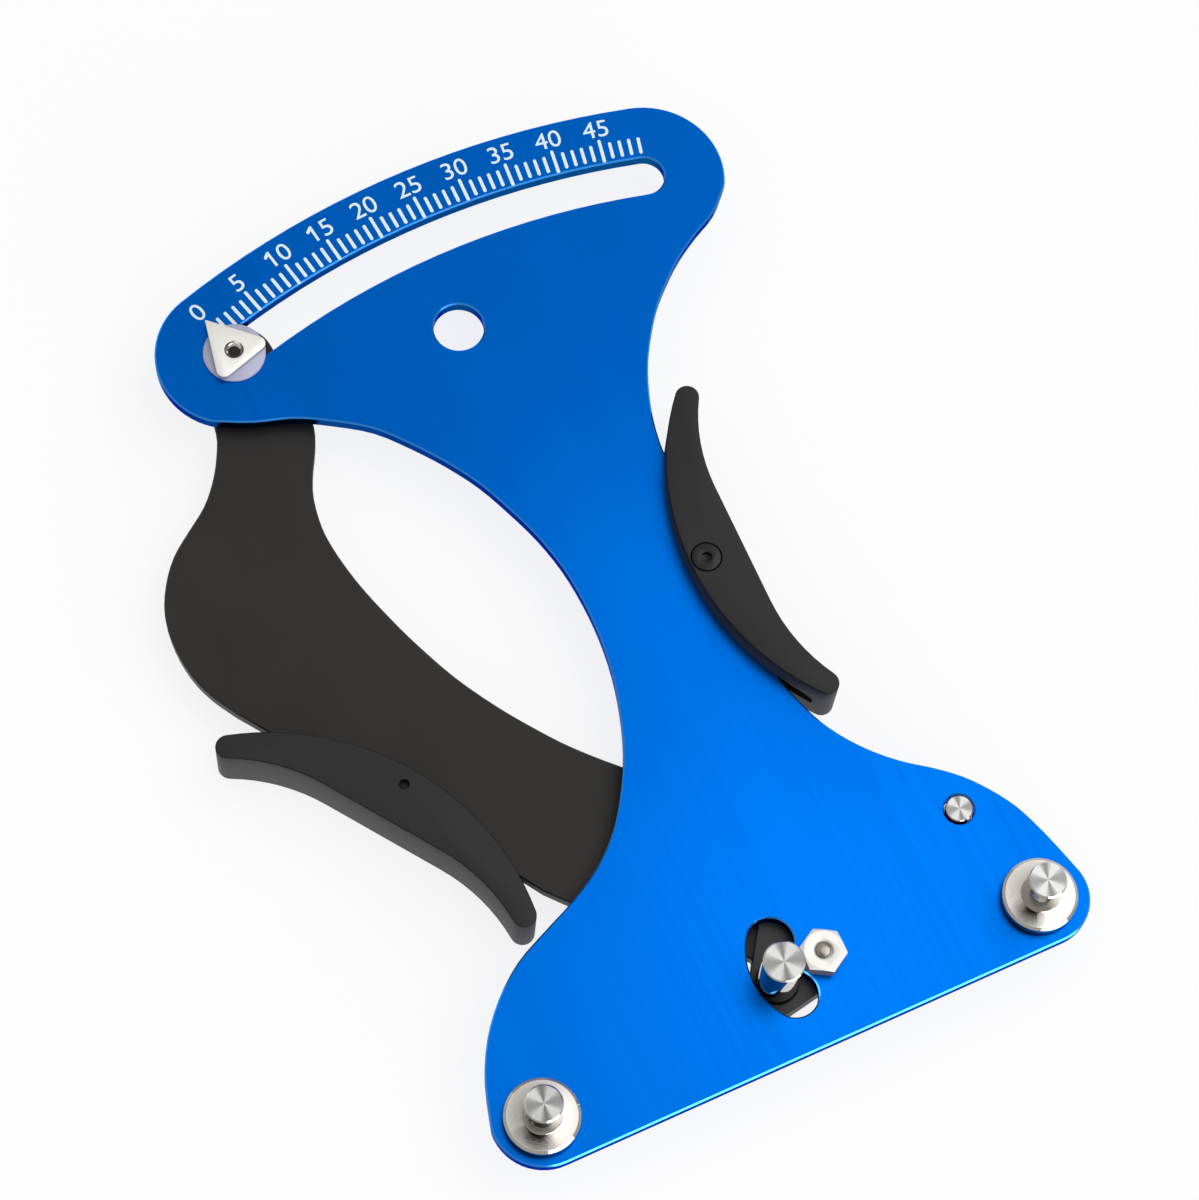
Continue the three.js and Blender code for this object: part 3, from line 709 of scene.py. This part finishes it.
low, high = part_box("spring_lever_pin")
centre = centre_of("spring_lever_pin")
lever_pin = turned("spring_lever_pin_turned", centre, [
    (lever_pin_head - edge_break, low.z),
    (lever_pin_head, low.z + edge_break),
    (lever_pin_head, head_top),
    (groove_radius, head_top),
    (groove_radius, lever_back),
    (lever_pin_shank, lever_back),
    (lever_pin_shank, high.z - edge_break),
    (lever_pin_shank - edge_break, high.z),
])
smooth(lever_pin)
steel = turned_metal("lever pin steel", centre, high.z)
finish_piece(lever_pin, "lever", steel, ["spring_lever_pin"])

# ---------------------------------------------------------------- scale

# The print stands a hair above the plate and is sunk a little into it
mark_height = 0.03 * MM
sink = 0.01 * MM
print_shift = (0.85 * MM, -0.2 * MM)

# Bearings are in degrees about the pivot, and reaches are from it
ticks = 50
numbered = 5
first_tick = 108.294
tick_step = 0.6496
tick_width = 0.71 * MM
long_tick = (172.36 * MM, 177.7 * MM)
short_tick = (172.92 * MM, 176.73 * MM)

number_reach = 180 * MM
number_size = 5.4 * MM
number_breadth = 1.05
flag_length = 1.5 * MM
flag_slant = math.radians(215)
flag_place = (0.3 * MM, 0.32 * MM)


def tick_mark(inner, outer):
    """A raised bar with round ends, which lies along X."""
    bpy.ops.object.select_all(action="DESELECT")
    bpy.ops.mesh.primitive_circle_add(
        vertices=16,
        radius=tick_width / 2,
        fill_type="NGON",
        location=(inner + tick_width / 2, 0, plate_face - sink),
    )
    mark = bpy.context.object
    settle(mark)
    edit(mark)
    bpy.ops.mesh.select_all(action="DESELECT")
    leave_edit()
    for vertex in mark.data.vertices:
        vertex.select = vertex.co.x > inner + tick_width / 2
    bpy.ops.object.mode_set(mode="EDIT")
    bpy.ops.transform.translate(value=(outer - inner - tick_width, 0, 0))
    bpy.ops.mesh.select_all(action="SELECT")
    bpy.ops.mesh.extrude_region_move(
        TRANSFORM_OT_translate={"value": (0, 0, mark_height + sink)}
    )
    bpy.ops.mesh.select_all(action="SELECT")
    bpy.ops.mesh.normals_make_consistent(inside=False)
    leave_edit()
    return mark


def joined(pieces, name):
    """One piece out of many, under the given name."""
    bpy.ops.object.select_all(action="DESELECT")
    for piece in pieces:
        piece.select_set(True)
    bpy.context.view_layer.objects.active = pieces[0]
    bpy.ops.object.join()
    pieces[0].name = name
    settle(pieces[0])
    return pieces[0]


def bearing_of(count):
    return math.radians(first_tick - tick_step * count)


def scale_ticks():
    """All ticks, each fifth one long, copied from one long and one short model."""
    models = [tick_mark(*reach) for reach in (long_tick, short_tick)]
    marks = []
    for count in range(ticks):
        select_only(models[0 if count % numbered == 0 else 1])
        bpy.ops.object.duplicate()
        mark = bpy.context.object
        mark.rotation_euler.z = bearing_of(count)
        settle(mark)
        marks.append(mark)
    for model in models:
        bpy.data.objects.remove(model)
    return joined(marks, "scale_ticks")


def flag_of_one(number, angle):
    """The slanted stroke at the top left of a figure one, which the typeface leaves out."""
    left = min(vertex.co.x for vertex in number.data.vertices) * number.scale.x
    top = max(vertex.co.y for vertex in number.data.vertices)
    outward = Vector((math.cos(angle), math.sin(angle), 0))
    onward = Vector((math.sin(angle), -math.cos(angle), 0))
    inset, drop = flag_place
    flag = tick_mark(0, flag_length)
    flag.rotation_euler.z = angle - math.pi / 2 + flag_slant
    flag.location = number.location + onward * (left + inset) + outward * (top - drop)
    flag.location.z = 0
    settle(flag)
    return flag


def scale_numbers():
    """The numbers over the long ticks, upright to the scale's arc."""
    digits = []
    for count in range(0, ticks, numbered):
        angle = bearing_of(count)
        bpy.ops.object.select_all(action="DESELECT")
        bpy.ops.object.text_add(
            location=(
                number_reach * math.cos(angle),
                number_reach * math.sin(angle),
                plate_face + (mark_height - sink) / 2,
            ),
            rotation=(0, 0, angle - math.pi / 2),
        )
        number = bpy.context.object
        number.data.body = str(count)
        number.data.size = number_size
        number.data.extrude = (mark_height + sink) / 2
        number.scale.x = number_breadth
        number.data.align_x = "CENTER"
        number.data.align_y = "CENTER"
        bpy.ops.object.convert(target="MESH")
        digits.append(number)
        if str(count).startswith("1"):
            digits.append(flag_of_one(number, angle))
    return joined(digits, "scale_numbers")


ink = print_ink()
for marks in (scale_ticks(), scale_numbers()):
    marks.location.xy = print_shift
    settle(marks)
    finish_piece(marks, "frame", ink)

# ---------------------------------------------------------------- pivot nut and pointer

across_flats = 8 * MM
small_edge = 0.05 * MM
pivot = (0, 0)

low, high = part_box("pivot_nut")
nut = hex_bar(pivot, across_flats, low.z, high.z)
nut.name = "pivot_nut_plated"
combine(nut, turned("rounding", pivot, [
    (4.2 * MM, low.z),
    (4.64 * MM, low.z + 0.25 * MM),
    (4.64 * MM, high.z - 0.55 * MM),
    (3.7 * MM, high.z),
]), "INTERSECT")
combine(nut, turned("thread", pivot, [
    (2.8 * MM, low.z - MM),
    (2.8 * MM, high.z - 0.6 * MM),
    (1.7 * MM, high.z - 0.45 * MM),
    (1.95 * MM, high.z - 0.05 * MM),
    (1.95 * MM, high.z + MM),
]), "DIFFERENCE")
bevel(nut, small_edge, 2, clamp=True)
smooth(nut)
# The nut's sides carry dark painted shade
nut_plate = plated("nut plate", linear(70, 62, 66))
finish_piece(nut, "frame", nut_plate, ["pivot_nut"])

bolt_head_top = 3.75 * MM
shaft_radius = 2.5 * MM

low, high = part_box("pivot_bolt")
bolt = hex_bar(pivot, across_flats, low.z, bolt_head_top, 30)
bolt.name = "pivot_bolt_plated"
combine(bolt, turned("head rounding", pivot, [
    (4.05 * MM, low.z),
    (4.62 * MM, low.z + 0.4 * MM),
    (4.62 * MM, 5 * MM),
]), "INTERSECT")
combine(bolt, turned("shaft", pivot, [
    (shaft_radius, 3 * MM),
    (shaft_radius, high.z - 0.25 * MM),
    (1.45 * MM, high.z - 0.25 * MM),
    (1.35 * MM, high.z - 0.05 * MM),
    (1.05 * MM, high.z + 0.12 * MM),
    (0.4 * MM, high.z + 0.18 * MM),
]), "UNION")
bevel(bolt, small_edge, 2)
smooth(bolt)
bolt_steel = plain_metal("bolt steel", linear(176, 168, 160), 0.3)
finish_piece(bolt, "frame", bolt_steel, ["pivot_bolt"])

dish_radius = 1.95 * MM
dish_foot = 1.2 * MM

pointer_centre = centre_of("pointer_washer")
low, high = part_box("pointer")
pointer = copied("pointer", "pointer_plated")
combine(pointer, turned("filling", pointer_centre, [
    (1.81 * MM, low.z),
    (1.81 * MM, high.z - 0.4 * MM),
    (2.25 * MM, high.z),
]), "UNION")
combine(pointer, turned("dish", pointer_centre, [
    (dish_foot, low.z - MM),
    (dish_foot, low.z + 0.2 * MM),
    (1.5 * MM, low.z + 0.42 * MM),
    (1.8 * MM, low.z + 0.8 * MM),
    (dish_radius, high.z),
    (dish_radius, high.z + MM),
]), "DIFFERENCE")
bevel(pointer, small_edge, 2, clamp=True)
smooth(pointer, 40)
dish = (pointer_centre, dish_radius + 0.03 * MM)
# The pointer's sides carry grey painted shade
pointer_plate = plated("pointer plate", linear(150, 150, 165), dish)
finish_piece(pointer, "lever", pointer_plate, ["pointer"])

screw_radius = 1.5 * MM
screw_tip = 1.12 * MM

screw_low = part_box("pointer_screw")[0]
screw = turned("pointer_screw_blacked", pointer_centre, [
    (screw_radius, screw_low.z),
    (screw_radius, low.z - 0.05 * MM),
    (screw_tip, low.z - 0.05 * MM),
    (screw_tip, low.z + 0.05 * MM),
])
smooth(screw)
finish_piece(screw, "lever", deep_black, ["pointer_screw"])

washer_bore = 1.8 * MM
washer_lower_edge = 0.1 * MM
washer_upper_edge = 0.2 * MM

low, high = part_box("pointer_washer")
washer_radius = (high.x - low.x) / 2
washer = turned("pointer_washer_moulded", pointer_centre, [
    (washer_bore, low.z),
    (washer_radius - washer_lower_edge, low.z),
    (washer_radius, low.z + washer_lower_edge),
    (washer_radius, high.z - washer_upper_edge),
    (washer_radius - washer_upper_edge, high.z),
    (washer_bore, high.z),
    (washer_bore, low.z),
])
smooth(washer, 50)
finish_piece(washer, "lever", pale_washer_plastic(), ["pointer_washer"])

# ---------------------------------------------------------------- screws, washers and bush

fastener_edge = 0.12 * MM

for node, body, material, slot in (
    ("pivot_washer", "frame", nickel, "nickel_plate"),
    ("pivot_bush", "frame", brass, "bush_brass"),
    ("pointer_sleeve", "lever", nickel, "nickel_plate"),
    ("pointer_lock_washer", "lever", nickel, "nickel_plate"),
    ("pointer_lock_nut", "lever", nickel, "nickel_plate"),
    ("left_grip_screw", "lever", deep_black, "black_screw"),
    ("right_grip_screw", "frame", black_steel, "black_screw"),
    ("moving_post_screw", "lever", black_steel, "black_screw"),
    ("fixed_post_screw_left", "frame", black_steel, "black_screw"),
    ("fixed_post_screw_right", "frame", black_steel, "black_screw"),
):
    fastener = copied(node, f"{node}_rounded")
    bevel(fastener, fastener_edge, 2, clamp=True)
    smooth(fastener)
    finish_piece(fastener, body, material, [node])

# ---------------------------------------------------------------- return spring

wire_radius = 0.45 * MM
coil_radius = 2.55 * MM
hook_radius = 2.1 * MM
body_inset = 5 * MM
spring_lift = 3.6 * MM
whole_curls = 11
spring_phase = math.radians(-30)
coil_steps = 16
# How far along, across and up the wire has come at each point between a hook and the curls
rise_shares = ((0.37, 0.445, 0.47), (0.75, 0.87, 0.94))


def spring_route(span):
    """Points from one pin to the other: a hook, the curls and a hook turned over."""
    curls = whole_curls + (math.pi - 2 * spring_phase) / FULL_TURN
    pitch = (span - 2 * body_inset) / curls

    def coil(angle):
        return Vector((
            body_inset + pitch * (angle - spring_phase) / FULL_TURN,
            coil_radius * math.cos(angle),
            coil_radius * math.sin(angle),
        ))

    hook = [
        Vector((hook_radius * math.cos(angle), hook_radius * math.sin(angle), 0))
        for angle in (math.radians(step) for step in range(30, 331, 15))
    ]
    first, last = coil(spring_phase), hook[-1]
    rise = [
        Vector(a + (b - a) * share for a, b, share in zip(last, first, shares))
        for shares in rise_shares
    ]
    half = hook + rise
    count = round(curls * coil_steps)
    body = [coil(spring_phase + FULL_TURN * curls * step / count) for step in range(count + 1)]
    far = [Vector((span - point.x, -point.y, point.z)) for point in reversed(half)]
    return half + body + far


lever_end = centre_of("spring_lever_pin")
anchor_end = centre_of("spring_anchor_pin")
lever_end.z = anchor_end.z = spring_lift
spring_span = anchor_end - lever_end
wire = bpy.data.curves.new("return_spring_wire", "CURVE")
wire.dimensions = "3D"
wire.bevel_depth = wire_radius
wire.bevel_resolution = 3
wire.use_fill_caps = True
wire.resolution_u = 2
route = spring_route(spring_span.length)
line = wire.splines.new("BEZIER")
line.bezier_points.add(len(route) - 1)
for mark, point in zip(line.bezier_points, route):
    mark.co = point
    mark.handle_left_type = mark.handle_right_type = "AUTO"
spring = bpy.data.objects.new("return_spring_wire", wire)
bpy.context.scene.collection.objects.link(spring)
select_only(spring)
bpy.ops.object.convert(target="MESH")
spring.rotation_euler.z = math.atan2(spring_span.y, spring_span.x)
spring.location = lever_end
settle(spring)
smooth(spring)
spring_wire = plain_metal("spring wire", linear(206, 204, 200), 0.28)
spring.data.materials.append(spring_wire)
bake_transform(spring)
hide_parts("return_spring")

# ---------------------------------------------------------------- camera, light and floor

# The camera, solved from the photo: its place and its three axes
camera_place = Vector((-0.1498, -0.1446, 0.68315))
camera_right = Vector((0.90546447, -0.42162004, 0.04868925))
camera_up = Vector((0.37642075, 0.85075167, 0.36678197))
camera_back = Vector((-0.19606509, -0.3137804, 0.92903194))

bpy.ops.object.select_all(action="DESELECT")
camera_data = bpy.data.cameras.new("camera")
camera_data.sensor_width = 36
camera_data.lens = 111.06
camera_data.clip_start = 0.05
camera_data.clip_end = 20
camera = bpy.data.objects.new("camera", camera_data)
bpy.context.scene.collection.objects.link(camera)
axes = Matrix((camera_right, camera_up, camera_back)).transposed().to_4x4()
camera.matrix_world = Matrix.Translation(camera_place) @ axes
bpy.context.scene.camera = camera

# A low strip in front, which the front chamfers mirror
strip_place = Vector((0.19, -0.86, 0.2))
strip_aim = Vector((0, 0.05, 0))

strip_data = bpy.data.lights.new("low front strip", "AREA")
strip_data.shape = "RECTANGLE"
strip_data.size = 0.9
strip_data.size_y = 0.3
strip_data.energy = 4.2
strip = bpy.data.objects.new("low front strip", strip_data)
bpy.context.scene.collection.objects.link(strip)
strip.location = strip_place
strip.rotation_euler = (strip_aim - strip_place).to_track_quat("-Z", "Y").to_euler()

# The studio around the tool: a soft glow that is strongest above its lower right corner, and
# the dark camera stand over the tool, which bright metal mirrors
glow_bearing = Vector((0.5, -0.1, 0.86)).normalized()
glow_span = (0.79, 0.97)
glow_strength = (0.52, 1.95)
stand_bearing = Vector((-0.23, -0.18, 0.956)).normalized()
stand_span = (math.cos(math.radians(22)), math.cos(math.radians(19)))
stand_share = 0.02

world = bpy.data.worlds.new("studio")
bpy.context.scene.world = world
world.use_nodes = True
sky = Shading(world.node_tree)


def towards(bearing):
    """How near the sky's directions are to a bearing: 1 in it, and 0 square to it."""
    made = sky.node(
        "VectorMath",
        {"operation": "DOT_PRODUCT"},
        {0: sky.node("TexCoord").outputs["Generated"], 1: bearing},
    )
    return Value(sky, made.outputs["Value"])


glow = sky.ramp(towards(glow_bearing), *glow_span, *glow_strength)
open_sky = sky.ramp(towards(stand_bearing), *stand_span, 1, stand_share)
background = world.node_tree.nodes["Background"]
sky.put(background, {"Color": (1, 1, 1, 1), "Strength": glow * open_sky})

# A pale floor, which also shows pale to the camera and to metal
floor_size = 6
floor_colour = (0.9, 0.9, 0.9, 1)
floor_glow = 1.05
floor_glow_share = 0.8

bpy.ops.mesh.primitive_plane_add(size=floor_size, location=(0, 0.08, -0.0005 * MM))
floor = bpy.context.object
floor.name = "floor"
paper = Finish("pale floor", Roughness=0.8)
paper.colour(floor_colour)
rays = paper.node("LightPath").outputs
seen = paper.maths("MAXIMUM", rays["Is Camera Ray"], rays["Is Glossy Ray"])
seen = paper.maths("MAXIMUM", seen, rays["Is Transmission Ray"])
lit = paper.node("Emission", {}, {"Color": (1, 1, 1, 1), "Strength": floor_glow})
blend = paper.node(
    "MixShader",
    {},
    {0: seen * floor_glow_share, 1: paper.shader.outputs[0], 2: lit.outputs[0]},
)
paper.put(paper.tree.nodes["Material Output"], {"Surface": blend.outputs[0]})
floor.data.materials.append(paper.material)

bpy.context.scene.view_settings.view_transform = "Standard"
